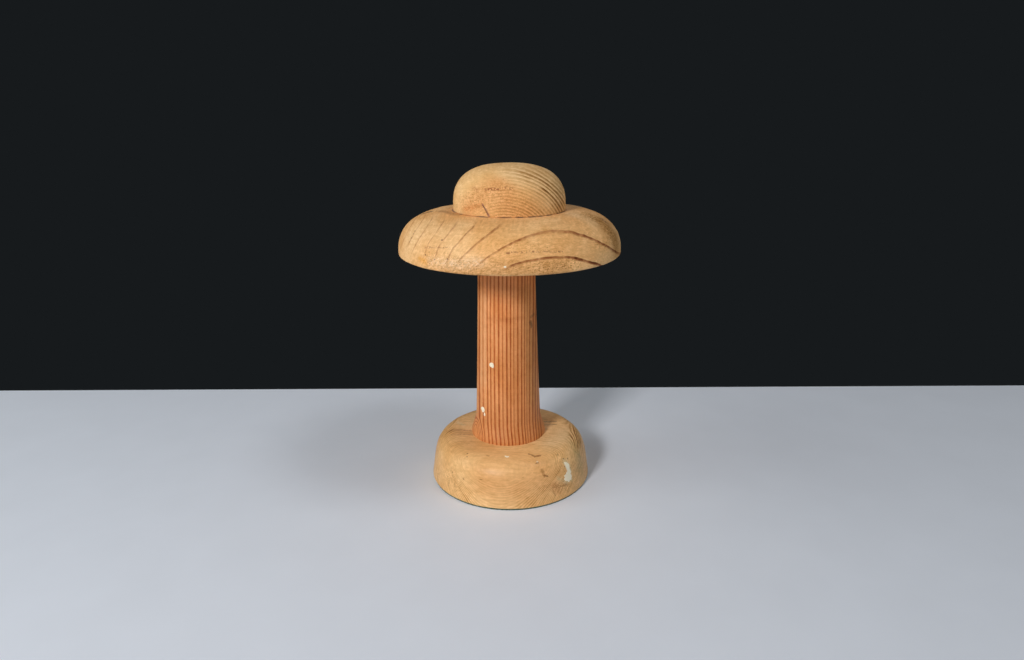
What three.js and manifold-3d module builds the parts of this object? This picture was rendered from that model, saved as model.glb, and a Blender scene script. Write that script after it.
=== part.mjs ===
// A milliner's hat stand, turned from softwood: a weighty round base on a baize pad, a tapered column,
// a mushroom-shaped brim block and a small domed crown block. Lengths are millimetres and +Z is up.
// The origin is at the middle of the pad's underside, where the stand meets the table.
import * as THREE from 'three';
import { mergeVertices } from 'three/addons/utils/BufferGeometryUtils.js';
import Module from 'manifold-3d';

const wasm = await Module();
wasm.setup();

// Baize pad
const padThickness = 1.5;
const padSetback = 0.7; // the pad is trimmed this far inside the edge of the base

// Base block
const baseHeight = 47;
const baseFootRadius = 86.4;
const baseFootEase = 0.8;
const baseWallHeight = 14; // straight part of the wall, below the round shoulder
const baseWallSlope = 0.145; // the wall leans in by this much for each unit of height
const baseShoulderPower = 4;
const baseFlatMargin = 1; // flat top left round the foot of the column

// Column, between its two shoulders
const columnLength = 199;
const columnHeadRadius = 29.2;
const columnWaistRadius = 35.5; // at the bottom, before the flare is added
const columnTaperPower = 1.3;
const footFlareWidth = 4.5;
const footFlareHeight = 22;
const columnFootShift = -2.1; // the socket in the base was bored this far off centre, along X
const columnHeadShift = -3.4; // and the bore in the brim this far

// Spigots turned on the two ends of the column
const footSpigotRadius = 19;
const headSpigotRadius = 16;
const headSpigotSetback = 0.5; // its end stops this far below the top of the brim
const spigotChamfer = 1.5;

// Brim block
const brimThickness = 42;
const brimRadius = 111.6;
const brimEdgeRadius = 2.5; // round on the lower edge
const brimShoulderPower = 2.4;
const brimFlatMargin = 2; // flat top left round the crown

// Crown block
const crownHeight = 45;
const crownRadius = 56;
const crownEase = 0.8; // chamfer on the lower edge
const crownWallHeight = 5.4;
const crownShoulderPower = 2.5;
const crownFlatRadius = 2.5;

// Dowels that place the crown on the brim
const dowelRadius = 5;
const dowelLength = 40;
const dowelChamfer = 1;
const dowelFluteDepth = 0.5;
const dowelFluteCount = 12;

// Wedge that spreads the end of the upper spigot
const kerfDepth = 26;
const kerfWidth = 1.6; // at the bottom of the saw cut
const kerfMouthWidth = 4.4; // at the top, once the wedge is driven
const wedgeGap = 0.3;
const wedgeEndGap = 2;

// Coach screw and washer that pull the column down into the base
const screwLength = 50;
const screwRadius = 4;
const screwRootRadius = 3.1;
const screwShankLength = 14;
const screwPointLength = 6;
const threadPitch = 3.2;
const headAcrossFlats = 13;
const headHeight = 5.5;
const washerRadius = 12;
const washerThickness = 1.8;
const headRecess = 1.9; // the head stops this far above the baize
const baseWeb = 7.5; // wood left between the counterbore and the socket above it

// Clearances
const glueGap = 0.3; // round a spigot or a dowel in its hole
const endGap = 1; // between the end of a spigot, dowel or screw and the bottom of its hole
const screwGap = 0.3; // round the screw in its holes
const washerGap = 1.2; // round the washer in its counterbore
const cutOverrun = 1; // a cutting tool runs this far past an open face

// Facets
const blockSegments = 72;
const crownSegments = 56;
const columnSegments = 40;
const smallSegments = 20;
const screwSegments = 12;
const hexSides = 6;
const shoulderSteps = 12;
const columnSteps = 9;
const flareSteps = 7;
const edgeSteps = 3;

// Heights of the faces where the pieces meet
const baseBottom = padThickness;
const baseTop = baseBottom + baseHeight;
const brimBottom = baseTop + columnLength;
const brimTop = brimBottom + brimThickness;
const crownTop = brimTop + crownHeight;
const screwSeat = baseBottom + headRecess + headHeight;
const counterboreTop = screwSeat + washerThickness;
const socketBottom = counterboreTop + baseWeb;

const point = (radius, z) => new THREE.Vector2(radius, z);

// A solid turned about the Z axis, from an outline that runs upwards from axis to axis.
function turned(outline, segments, x = 0) {
  const geometry = new THREE.LatheGeometry(outline, segments);
  geometry.rotateX(Math.PI / 2);
  geometry.translate(x, 0, 0);
  return geometry;
}

// A plain round bar or hole along Z.
function bar(radius, bottom, top, x = 0, segments = smallSegments) {
  const outline = [point(0, bottom), point(radius, bottom), point(radius, top), point(0, top)];
  return turned(outline, segments, x);
}

// Points of a round shoulder, from a wall at (wallRadius, bottom) to a flat top at (flatRadius, top).
// A power of 2 gives a quarter ellipse and a higher one a squarer shoulder; slope leans it inwards.
function shoulder(wallRadius, flatRadius, bottom, top, power, slope = 0) {
  const lean = slope * (top - bottom);
  const points = [];
  for (let i = 0; i <= shoulderSteps; i++) {
    const angle = (i / shoulderSteps) * (Math.PI / 2);
    const reach = i === shoulderSteps ? 0 : Math.cos(angle) ** (2 / power);
    const rise = Math.sin(angle) ** (2 / power);
    const radius = flatRadius + lean + (wallRadius - flatRadius - lean) * reach - lean * rise;
    points.push(point(radius, bottom + (top - bottom) * rise));
  }
  return points;
}

// A closed geometry as a solid for cutting and joining.
function solidFrom(geometry) {
  const bare = geometry.clone();
  bare.deleteAttribute('normal');
  bare.deleteAttribute('uv');
  const merged = mergeVertices(bare);
  return new wasm.Manifold(new wasm.Mesh({
    numProp: 3,
    vertProperties: merged.attributes.position.array,
    triVerts: new Uint32Array(merged.index.array),
  }));
}

// A solid as a geometry again.
function geometryFrom(solid) {
  const mesh = solid.getMesh();
  const geometry = new THREE.BufferGeometry();
  geometry.setAttribute('position', new THREE.BufferAttribute(mesh.vertProperties, 3));
  geometry.setIndex(new THREE.BufferAttribute(mesh.triVerts, 1));
  geometry.computeVertexNormals();
  return geometry;
}

function cut(geometry, tools) {
  let solid = solidFrom(geometry);
  for (const tool of tools) solid = solid.subtract(solidFrom(tool));
  return geometryFrom(solid);
}

function material(color, roughness, metalness = 0) {
  return new THREE.MeshStandardMaterial({ color, roughness, metalness });
}
const paleWood = material(0xd9a566, 0.6);
const endGrainWood = material(0xdcae70, 0.62);
const stripedWood = material(0xc98448, 0.55);
const hardwood = material(0xd8b98c, 0.7);
const baize = material(0x2f4d3c, 0.95);
const steel = material(0x9a9b9c, 0.4, 1);

const stand = new THREE.Group();

function add(name, geometry, look) {
  const mesh = new THREE.Mesh(geometry, look);
  mesh.name = name;
  stand.add(mesh);
}

// The baize pad covers the whole underside, and hides the screw.
add('baize_pad', bar(baseFootRadius - padSetback, 0, padThickness, 0, blockSegments), baize);

function base() {
  const wallTop = baseBottom + baseWallHeight;
  const wallTopRadius = baseFootRadius - baseWallSlope * baseWallHeight;
  const flatRadius = columnWaistRadius + footFlareWidth + baseFlatMargin;
  const outline = [
    point(0, baseBottom),
    point(baseFootRadius - baseFootEase, baseBottom),
    point(baseFootRadius, baseBottom + baseFootEase),
    ...shoulder(wallTopRadius, flatRadius, wallTop, baseTop, baseShoulderPower, baseWallSlope),
    point(0, baseTop),
  ];
  const socket = bar(footSpigotRadius + glueGap, socketBottom, baseTop + cutOverrun, columnFootShift);
  const screwHole = bar(
    screwRadius + screwGap, counterboreTop - cutOverrun, socketBottom + cutOverrun, columnFootShift);
  const counterbore = bar(washerRadius + washerGap, baseBottom - cutOverrun, counterboreTop, columnFootShift);
  return cut(turned(outline, blockSegments), [socket, screwHole, counterbore]);
}
add('base', base(), paleWood);

// Radius of the column at a height, given as a share of its length: a slack taper and a flared foot.
function columnRadius(heightShare) {
  const taper = (columnWaistRadius - columnHeadRadius) * (1 - heightShare) ** columnTaperPower;
  const up = Math.min(1, (heightShare * columnLength) / footFlareHeight);
  const flare = footFlareWidth * (1 - up * up * (3 - 2 * up));
  return columnHeadRadius + taper + flare;
}

function column() {
  const flareShare = footFlareHeight / columnLength;
  const spigotBottom = socketBottom + endGap;
  const spigotTop = brimTop - headSpigotSetback;
  const outline = [
    point(0, spigotBottom),
    point(footSpigotRadius - spigotChamfer, spigotBottom),
    point(footSpigotRadius, spigotBottom + spigotChamfer),
    point(footSpigotRadius, baseTop),
  ];
  for (let i = 0; i < flareSteps; i++) {
    const share = (flareShare * i) / flareSteps;
    outline.push(point(columnRadius(share), baseTop + share * columnLength));
  }
  for (let i = 0; i < columnSteps; i++) {
    const share = flareShare + ((1 - flareShare) * i) / columnSteps;
    outline.push(point(columnRadius(share), baseTop + share * columnLength));
  }
  outline.push(
    point(columnRadius(1), brimBottom),
    point(headSpigotRadius, brimBottom),
    point(headSpigotRadius, spigotTop - spigotChamfer),
    point(headSpigotRadius - spigotChamfer, spigotTop),
    point(0, spigotTop),
  );

  // The two holes it stands between were bored off centre by different amounts, so it leans.
  const geometry = turned(outline, columnSegments);
  const places = geometry.attributes.position;
  for (let i = 0; i < places.count; i++) {
    const up = THREE.MathUtils.clamp((places.getZ(i) - baseTop) / columnLength, 0, 1);
    places.setX(i, places.getX(i) + THREE.MathUtils.lerp(columnFootShift, columnHeadShift, up));
  }

  const pilotTop = screwSeat + screwLength + endGap;
  const pilot = bar(screwRadius + screwGap, spigotBottom - cutOverrun, pilotTop, columnFootShift);
  const kerfLength = 2 * (headSpigotRadius + cutOverrun);
  const kerf = taperedSlab(kerfWidth, kerfMouthWidth, kerfLength, spigotTop - kerfDepth, spigotTop);
  const kerfOpening = taperedSlab(
    kerfMouthWidth, kerfMouthWidth, kerfLength, spigotTop - wedgeGap, spigotTop + cutOverrun);
  return cut(geometry, [pilot, kerf, kerfOpening]);
}

// A slab along Y, centred on the upper spigot, whose width along X changes from its bottom to its top.
function taperedSlab(bottomWidth, topWidth, length, bottom, top) {
  const section = new THREE.Shape();
  section.moveTo(-bottomWidth / 2, bottom);
  section.lineTo(bottomWidth / 2, bottom);
  section.lineTo(topWidth / 2, top);
  section.lineTo(-topWidth / 2, top);
  section.closePath();
  const geometry = new THREE.ExtrudeGeometry(section, { depth: length, bevelEnabled: false });
  geometry.translate(0, 0, -length / 2);
  geometry.rotateX(Math.PI / 2);
  geometry.translate(columnHeadShift, 0, 0);
  return geometry;
}
add('column', column(), stripedWood);

// The wedge keeps its gap to both sides of the saw cut and to its bottom.
function spigotWedge() {
  const top = brimTop - headSpigotSetback;
  const bottom = top - kerfDepth + wedgeEndGap;
  const topWidth = kerfMouthWidth - 2 * wedgeGap;
  const taper = (kerfMouthWidth - kerfWidth) / kerfDepth;
  const length = 2 * (headSpigotRadius - spigotChamfer);
  return taperedSlab(topWidth - taper * (top - bottom), topWidth, length, bottom, top);
}
add('spigot_wedge', spigotWedge(), hardwood);

// The dowels stand one on each side of the spigot, half way between it and the wall of the crown.
const dowelReach = (headSpigotRadius + crownRadius) / 2;
const dowelPlaces = { dowel_left: -dowelReach, dowel_right: dowelReach };
const dowelHoles = () => Object.values(dowelPlaces).map((x) => bar(
  dowelRadius + glueGap,
  brimTop - dowelLength / 2 - endGap,
  brimTop + dowelLength / 2 + endGap,
  x,
));

function brim() {
  const outline = [point(0, brimBottom)];
  for (let i = 0; i < edgeSteps; i++) {
    const angle = (i / edgeSteps) * (Math.PI / 2);
    outline.push(point(
      brimRadius - brimEdgeRadius * (1 - Math.sin(angle)),
      brimBottom + brimEdgeRadius * (1 - Math.cos(angle)),
    ));
  }
  const flatRadius = crownRadius + brimFlatMargin;
  outline.push(
    ...shoulder(brimRadius, flatRadius, brimBottom + brimEdgeRadius, brimTop, brimShoulderPower),
    point(0, brimTop),
  );
  const boreRadius = headSpigotRadius + glueGap;
  const bore = bar(boreRadius, brimBottom - cutOverrun, brimTop + cutOverrun, columnHeadShift);
  return cut(turned(outline, blockSegments), [bore, ...dowelHoles()]);
}
add('brim', brim(), paleWood);

function crown() {
  const wallTop = brimTop + crownWallHeight;
  const outline = [
    point(0, brimTop),
    point(crownRadius - crownEase, brimTop),
    point(crownRadius, brimTop + crownEase),
    ...shoulder(crownRadius, crownFlatRadius, wallTop, crownTop, crownShoulderPower),
    point(0, crownTop),
  ];
  return cut(turned(outline, crownSegments), dowelHoles());
}
add('crown', crown(), endGrainWood);

// A fluted dowel with chamfered ends: a round bar, trimmed by a prism whose sides are the flutes.
function dowel(x) {
  const bottom = brimTop - dowelLength / 2;
  const top = brimTop + dowelLength / 2;
  const round = turned([
    point(0, bottom),
    point(dowelRadius - dowelChamfer, bottom),
    point(dowelRadius, bottom + dowelChamfer),
    point(dowelRadius, top - dowelChamfer),
    point(dowelRadius - dowelChamfer, top),
    point(0, top),
  ], smallSegments);

  const section = new THREE.Shape();
  const corners = 2 * dowelFluteCount;
  for (let i = 0; i < corners; i++) {
    const angle = (i / corners) * 2 * Math.PI;
    const radius = dowelRadius - (i % 2 ? dowelFluteDepth : 0);
    if (i === 0) section.moveTo(radius, 0);
    else section.lineTo(radius * Math.cos(angle), radius * Math.sin(angle));
  }
  section.closePath();
  const depth = dowelLength + 2 * cutOverrun;
  const fluted = new THREE.ExtrudeGeometry(section, { depth, bevelEnabled: false });
  fluted.translate(0, 0, bottom - cutOverrun);
  return geometryFrom(solidFrom(round).intersect(solidFrom(fluted))).translate(x, 0, 0);
}
for (const [name, x] of Object.entries(dowelPlaces)) add(name, dowel(x), hardwood);

// The washer bears on the top of its counterbore, and the head of the screw bears on the washer.
function washer() {
  const disc = bar(washerRadius, screwSeat, counterboreTop, columnFootShift);
  const holeRadius = screwRadius + screwGap;
  const hole = bar(holeRadius, screwSeat - cutOverrun, counterboreTop + cutOverrun, columnFootShift);
  return cut(disc, [hole]);
}
add('base_washer', washer(), steel);

// The coach screw's thread is drawn as plain ridges, one for each turn.
function coachScrew() {
  const tip = screwSeat + screwLength;
  const threadBottom = screwSeat + screwShankLength;
  const turns = Math.floor((tip - screwPointLength - threadBottom) / threadPitch);
  const shankBottom = screwSeat - headHeight / 2;
  const outline = [
    point(0, shankBottom),
    point(screwRadius, shankBottom),
    point(screwRadius, threadBottom),
  ];
  for (let i = 0; i < turns; i++) {
    const ridgeBottom = threadBottom + threadPitch * i;
    outline.push(
      point(screwRootRadius, ridgeBottom + threadPitch / 3),
      point(screwRootRadius, ridgeBottom + (2 * threadPitch) / 3),
      point(screwRadius, ridgeBottom + threadPitch),
    );
  }
  outline.push(point(screwRootRadius, tip - screwPointLength), point(0, tip));
  const shank = turned(outline, screwSegments, columnFootShift);
  const headRadius = headAcrossFlats / 2 / Math.cos(Math.PI / hexSides);
  const head = bar(headRadius, screwSeat - headHeight, screwSeat, columnFootShift, hexSides);
  return geometryFrom(solidFrom(shank).add(solidFrom(head)));
}
add('base_screw', coachScrew(), steel);

export default stand;
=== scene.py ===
import math
from types import SimpleNamespace as Values

import bmesh
import bpy
import numpy as np
from mathutils import Matrix, Vector, noise


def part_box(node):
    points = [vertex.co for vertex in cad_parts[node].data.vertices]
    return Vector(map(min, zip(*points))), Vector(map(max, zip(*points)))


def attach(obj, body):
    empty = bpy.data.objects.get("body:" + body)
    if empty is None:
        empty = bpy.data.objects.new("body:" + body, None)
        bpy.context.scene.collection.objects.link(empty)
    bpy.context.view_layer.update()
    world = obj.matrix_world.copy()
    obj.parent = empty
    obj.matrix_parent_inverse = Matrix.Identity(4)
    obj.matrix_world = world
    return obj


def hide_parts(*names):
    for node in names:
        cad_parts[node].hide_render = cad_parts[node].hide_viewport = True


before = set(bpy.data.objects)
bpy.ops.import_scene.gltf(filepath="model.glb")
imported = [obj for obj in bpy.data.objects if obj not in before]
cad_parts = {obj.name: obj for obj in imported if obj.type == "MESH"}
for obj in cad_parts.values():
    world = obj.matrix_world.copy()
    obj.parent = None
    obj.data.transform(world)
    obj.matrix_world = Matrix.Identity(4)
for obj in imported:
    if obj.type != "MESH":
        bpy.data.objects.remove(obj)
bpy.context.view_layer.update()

# Lengths are metres, so that a size in millimetres is written as a number times MM. Inside a wood or
# cloth material every place and size is in millimetres, because the patterns there are that small.
MM = 0.001

# The picture and the camera that took it. A pixel is (x, y) from the picture's top left corner.
IMAGE_SIZE = (1024, 660)
SENSOR_WIDTH = 36 * MM
CAMERA_PLACE = (0, -703.9 * MM, 390.9 * MM)
CAMERA_PITCH = math.radians(17.93)
CAMERA_ROLL = math.radians(-0.29)
FOCAL_PIXELS = 703.8
CENTRE_PIXEL = (509.92, 330)
CLIP_START = 10 * MM

# The turned blocks. Each one's radius, bottom and top are those of its solid in the frame.
# The ease is the small round at the foot of its wall. The brim has no more wall than that.
BASE = Values(ease=0.8 * MM, wall_height=14 * MM, wall_slope=0.145, shoulder_power=4, flat_radius=41 * MM)
BRIM = Values(ease=2.5 * MM, wall_height=2.5 * MM, wall_slope=0, shoulder_power=2.4, flat_radius=58 * MM)
CROWN = Values(ease=0.8 * MM, wall_height=5.4 * MM, wall_slope=0, shoulder_power=2.5, flat_radius=2.5 * MM)
COLUMN = Values(head_radius=29.2 * MM, waist_radius=35.5 * MM, taper_power=1.3,
                flare_height=22 * MM, foot_shift=-2.1 * MM, head_shift=-3.4 * MM)

# The joinery that the blocks hide
JOINERY = Values(foot_spigot_radius=19 * MM, head_spigot_radius=16 * MM, spigot_chamfer=1.5 * MM,
                 glue_gap=0.3 * MM, end_gap=1 * MM, washer_gap=1.2 * MM, web=7.5 * MM,
                 screw_radius=4 * MM, kerf_width=1.6 * MM, kerf_mouth_width=4.4 * MM,
                 kerf_depth=26 * MM)

# How far a cutting tool runs past an open face
OVERRUN = 1 * MM

# Rows of faces along each part of an outline, and columns of faces round each block
WALL_ROWS = 12
SHOULDER_ROWS = 64
EASE_ROWS = 5
COLUMN_ROWS = 150
FLAT_ROWS = 3
BLOCK_COLUMNS = 288
COLUMN_COLUMNS = 192
BAIZE_COLUMNS = 576
HOLE_COLUMNS = 48

# The uneven skin of the blocks: the size and depth of its hollows, and how finer ones are added to them
WEAR_SIZE = 24 * MM
WEAR_DEPTH = 0.5 * MM
WEAR_FALLOFF = 1
WEAR_STEP = 2
WEAR_OCTAVES = 3

# The ragged edge of the baize
RAGGED_SIZE = 2.5 * MM
RAGGED_DEPTH = 0.7 * MM

# Drying cracks: the steps along each, how open its ends are, and how far it strays from a straight line
CRACK_STEPS = 14
CRACK_END_SHARE = 0.02
CRACK_WANDER = 0.3 * MM
CRACK_WANDER_SIZE = 2 * MM

# Dabs of old paint: rows of faces from the middle to the rim, columns round it, and lumps on top
PAINT_ROWS = 7
PAINT_COLUMNS = 48
PAINT_SUNK = 0.1 * MM  # the underside of a dab lies this far inside the wood
PAINT_LUMPS = 0.5
PAINT_LUMP_SIZE = 1.1 * MM

# Faces that meet at more than this are shown with a crisp edge between them.
CRISP_ANGLE = math.radians(38)

# The stage. Its lamps are square and soft. A lamp's azimuth is 0 in front of the stand and grows to the
# right, its angles are degrees, and its distance and size are metres.
TABLE_SIZE = 12
TABLE_BACK = 233 * MM
TABLE_THICKNESS = 20 * MM
TABLE_COLOUR = "#E4EDFA"
TABLE_MOTTLE = 0.06
TABLE_RELIEF = 0.02
BACKDROP_COLOUR = "#171A1C"
LAMPS = {
    "key": Values(azimuth=-30, elevation=28, distance=2.2, size=0.4, watts=30, colour=(1, 0.95, 0.92)),
    "left_fill": Values(azimuth=-80, elevation=33, distance=2.2, size=1.3, watts=10.5,
                        colour=(0.97, 1, 0.98)),
    "overhead": Values(azimuth=66, elevation=60, distance=2, size=0.5, watts=6.8, colour=(1, 0.98, 0.97)),
    "right_fill": Values(azimuth=80, elevation=15, distance=2.2, size=1.5, watts=4.6, colour=(1, 1, 0.92)),
    "back_fill": Values(azimuth=175, elevation=30, distance=2.4, size=1.8, watts=2.5, colour=(1, 1, 1)),
}

# The middle of a noise, or of a random number, that runs from 0 to 1
MIDDLE = 0.5

# How much red, green and blue a pigment takes up: that of wood, and a plain grey one
WOOD_UPTAKE = (1, 1.3, 1.9)
GREY_UPTAKE = (1, 1, 1)


def linear(hex_colour):
    """A colour written as #RRGGBB, taken off the sRGB curve to the linear values of a shader."""
    shares = [int(hex_colour[i:i + 2], 16) / 255 for i in (1, 3, 5)]
    return (*((s / 12.92 if s <= 0.04045 else ((s + 0.055) / 1.055) ** 2.4) for s in shares), 1)


def pattern(size, detail, roughness=0.5, stretch=1):
    """A noise: the size of its lumps, how many finer ones they carry and how strong those are.

    Stretch is how many times longer the lumps are along the fibre, or round the block."""
    return Values(size=size, detail=detail, roughness=roughness, stretch=stretch)


class Field:
    """A number that varies through a material. Arithmetic on it adds the nodes that it needs."""

    def __init__(self, shader, socket):
        self.shader = shader
        self.socket = socket

    def __add__(self, other):
        return self.shader.math("ADD", self, other)

    def __sub__(self, other):
        return self.shader.math("SUBTRACT", self, other)

    def __rsub__(self, other):
        return self.shader.math("SUBTRACT", other, self)

    def __mul__(self, other):
        return self.shader.math("MULTIPLY", self, other)

    def __truediv__(self, other):
        return self.shader.math("DIVIDE", self, other)

    def __pow__(self, other):
        return self.shader.math("POWER", self, other)

    __radd__ = __add__
    __rmul__ = __mul__


class Shader:
    """A material being made. Each method adds nodes and returns what comes out of them."""

    def __init__(self, name):
        self.material = bpy.data.materials.new(name)
        self.material.use_nodes = True
        self.tree = self.material.node_tree
        self.tree.nodes.clear()
        surface = self.node("ShaderNodeTexCoord")
        self.place = self.vector("SCALE", surface.outputs["Object"], factor=1 / MM)
        self.normal = surface.outputs["Normal"]

    def node(self, kind, inputs=(), **settings):
        node = self.tree.nodes.new(kind)
        for key, value in settings.items():
            setattr(node, key, value)
        for key, value in dict(inputs).items():
            self.feed(node.inputs[key], value)
        return node

    def feed(self, socket, value):
        if isinstance(value, Field):
            value = value.socket
        if isinstance(value, bpy.types.NodeSocket):
            self.tree.links.new(value, socket)
        else:
            socket.default_value = value

    def math(self, operation, *values):
        node = self.node("ShaderNodeMath", enumerate(values), operation=operation)
        return Field(self, node.outputs[0])

    def vector(self, operation, *values, factor=None):
        node = self.node("ShaderNodeVectorMath", enumerate(values), operation=operation)
        if factor is not None:
            self.feed(node.inputs["Scale"], factor)
        if operation in ("DOT_PRODUCT", "LENGTH", "DISTANCE"):
            return Field(self, node.outputs["Value"])
        return node.outputs["Vector"]

    def combine(self, x, y, z):
        return self.node("ShaderNodeCombineXYZ", enumerate((x, y, z))).outputs[0]

    def separate(self, vector):
        outputs = self.node("ShaderNodeSeparateXYZ", {0: vector}).outputs
        return [Field(self, socket) for socket in outputs]

    def ramp(self, value, low, high, kind="SMOOTHSTEP"):
        """0 where value is below low, 1 above high, and a step between. High may be the lower."""
        keys = {"Value": value, "From Min": low, "From Max": high}
        node = self.node("ShaderNodeMapRange", keys, interpolation_type=kind)
        return Field(self, node.outputs["Result"])

    def noise(self, place, pattern):
        """Smooth noise from 0 to 1."""
        keys = {"Vector": place, "Scale": 1 / pattern.size, "Detail": pattern.detail,
                "Roughness": pattern.roughness}
        return Field(self, self.node("ShaderNodeTexNoise", keys).outputs["Fac"])

    def wander(self, place, pattern, reach):
        """Moves a place by up to about reach, differently from place to place."""
        keys = {"Vector": place, "Scale": 1 / pattern.size, "Detail": pattern.detail}
        colour = self.node("ShaderNodeTexNoise", keys).outputs["Color"]
        swing = self.vector("SUBTRACT", colour, (MIDDLE, MIDDLE, MIDDLE))
        return self.vector("ADD", place, self.vector("SCALE", swing, factor=2 * reach))

    def chance(self, number, seed):
        """A random number from 0 to 1 for each whole number."""
        node = self.node("ShaderNodeTexWhiteNoise", {"W": number + seed}, noise_dimensions="1D")
        return Field(self, node.outputs["Value"])

    def cells(self, place, size, seed=0):
        """How far the nearest of many scattered points is, as a share of size, and that point's number."""
        shifted = self.vector("ADD", place, (seed, seed, seed))
        node = self.node("ShaderNodeTexVoronoi", {"Vector": shifted, "Scale": 1 / size})
        return Field(self, node.outputs["Distance"]), self.separate(node.outputs["Color"])[0]

    def mix(self, first, second, share):
        """A blend of two colours. The node's sockets 6, 7 and 2 are the ones for colours."""
        node = self.node("ShaderNodeMix", data_type="RGBA")
        self.feed(node.inputs[0], share)
        self.feed(node.inputs[6], first)
        self.feed(node.inputs[7], second)
        return node.outputs[2]

    def deepen(self, colour, depth, uptake=WOOD_UPTAKE):
        """The colour seen through more, or less, of its own pigment."""
        passed = [self.math("EXPONENT", depth * -share) for share in uptake]
        return self.vector("MULTIPLY", colour, self.combine(*passed))

    def distance(self, place, points):
        """Distance from a place to a point, or to the line through several, all in millimetres."""
        if len(points) == 1:
            return self.vector("DISTANCE", place, points[0])
        nearest = None
        for start, end in zip(points, points[1:]):
            span = end - start
            offset = self.vector("SUBTRACT", place, start)
            along = self.vector("DOT_PRODUCT", offset, span / span.length_squared)
            share = self.math("MINIMUM", self.math("MAXIMUM", along, 0), 1)
            nearest_point = self.vector("SCALE", span, factor=share)
            gap = self.vector("DISTANCE", offset, nearest_point)
            nearest = gap if nearest is None else self.math("MINIMUM", nearest, gap)
        return nearest

    def finish(self, colour, roughness, height, **constants):
        """Ends the material. Height is in millimetres, and constants go on the shader's own sockets."""
        bump = self.node("ShaderNodeBump", {"Strength": 1, "Distance": MM, "Height": height})
        keys = {"Base Color": colour, "Roughness": roughness, "Normal": bump.outputs[0], **constants}
        surface = self.node("ShaderNodeBsdfPrincipled", keys)
        self.node("ShaderNodeOutputMaterial", {"Surface": surface.outputs[0]})
        return self.material


# Camera

def make_camera():
    camera = bpy.data.cameras.new("camera")
    camera.sensor_width = SENSOR_WIDTH / MM
    camera.lens = camera.sensor_width * FOCAL_PIXELS / IMAGE_SIZE[0]
    camera.shift_x = 0.5 - CENTRE_PIXEL[0] / IMAGE_SIZE[0]
    camera.shift_y = (CENTRE_PIXEL[1] - IMAGE_SIZE[1] / 2) / IMAGE_SIZE[0]
    camera.clip_start = CLIP_START
    camera_object = bpy.data.objects.new("camera", camera)
    tilt = Matrix.Rotation(math.pi / 2 - CAMERA_PITCH, 4, "X")
    roll = Matrix.Rotation(CAMERA_ROLL, 4, "Z")
    camera_object.matrix_world = Matrix.Translation(CAMERA_PLACE) @ tilt @ roll
    bpy.context.scene.collection.objects.link(camera_object)
    bpy.context.scene.camera = camera_object


def seen_at(pixel, piece):
    """The point of a piece that the picture shows at a pixel, and the way that its surface faces there."""
    x = (pixel[0] - CENTRE_PIXEL[0]) / FOCAL_PIXELS
    y = (CENTRE_PIXEL[1] - pixel[1]) / FOCAL_PIXELS
    turn = bpy.context.scene.camera.matrix_world.to_3x3()
    direction = (turn @ Vector((x, y, -1))).normalized()
    hit, point, normal, _ = piece.ray_cast(Vector(CAMERA_PLACE), direction)
    if not hit:
        raise ValueError(f"{piece.name} isn't seen at {pixel}")
    return point, normal


# Meshes

def link(name, mesh):
    piece = bpy.data.objects.new(name, mesh)
    bpy.context.scene.collection.objects.link(piece)
    return piece


def closed_mesh(name, rings):
    """A closed mesh over rings of points. An end ring of one point closes in a fan, a wider one is flat."""
    columns = len(rings[1])
    faces = []
    first = 0
    for ring, following in zip(rings, rings[1:]):
        second = first + len(ring)
        for i in range(columns):
            after = (i + 1) % columns
            if len(ring) == 1:
                faces.append((first, second + after, second + i))
            elif len(following) == 1:
                faces.append((second, first + i, first + after))
            else:
                faces.append((first + i, first + after, second + after, second + i))
        first = second
    if len(rings[0]) > 1:
        faces.append(tuple(reversed(range(columns))))
    if len(rings[-1]) > 1:
        faces.append(tuple(range(first, first + columns)))
    mesh = bpy.data.meshes.new(name)
    mesh.from_pydata([point for ring in rings for point in ring], [], faces)
    return mesh


def turned_mesh(name, outline, columns, centre=lambda height: 0):
    """A closed solid turned about the Z axis, from the (radius, height) points of its outline, going up."""
    angles = np.arange(columns) * (2 * math.pi / columns)
    rings = []
    for radius, height in outline:
        if radius == 0:
            rings.append([(centre(height), 0, height)])
        else:
            x = centre(height) + radius * np.cos(angles)
            y = radius * np.sin(angles)
            rings.append(list(zip(x, y, [height] * columns)))
    return closed_mesh(name, rings)


def shoulder(start, end, power, slope):
    """Points of a round shoulder. A power of 2 gives a quarter ellipse, and a higher one is squarer."""
    wall_radius, bottom = start
    flat_radius, top = end
    lean = slope * (top - bottom)
    points = []
    for i in range(SHOULDER_ROWS + 1):
        angle = i / SHOULDER_ROWS * math.pi / 2
        reach = max(0, math.cos(angle)) ** (2 / power)
        rise = math.sin(angle) ** (2 / power)
        radius = flat_radius + lean + (wall_radius - flat_radius - lean) * reach - lean * rise
        points.append((radius, bottom + (top - bottom) * rise))
    return points


def rounded_edge(radius, bottom, size):
    """Points of a quarter round from the underside of a block up to its wall."""
    points = []
    for i in range(EASE_ROWS):
        angle = i / EASE_ROWS * math.pi / 2
        inwards = size * (1 - math.sin(angle))
        upwards = size * (1 - math.cos(angle))
        points.append((radius - inwards, bottom + upwards))
    return points


def line(start, end, rows):
    """Points along a straight stretch of an outline, without its end."""
    return [tuple(a + (b - a) * i / rows for a, b in zip(start, end)) for i in range(rows)]


def flat(radius, height, outwards):
    """Rings across a flat face, so that its faces aren't slivers from the middle to the edge."""
    shares = [i / FLAT_ROWS for i in range(FLAT_ROWS)]
    rings = [(radius * share, height) for share in shares]
    return rings if outwards else rings[::-1]


def share_of(swing):
    """A number that swings from -1 to 1, as a share from 0 to 1."""
    return (1 + swing) / 2


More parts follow.
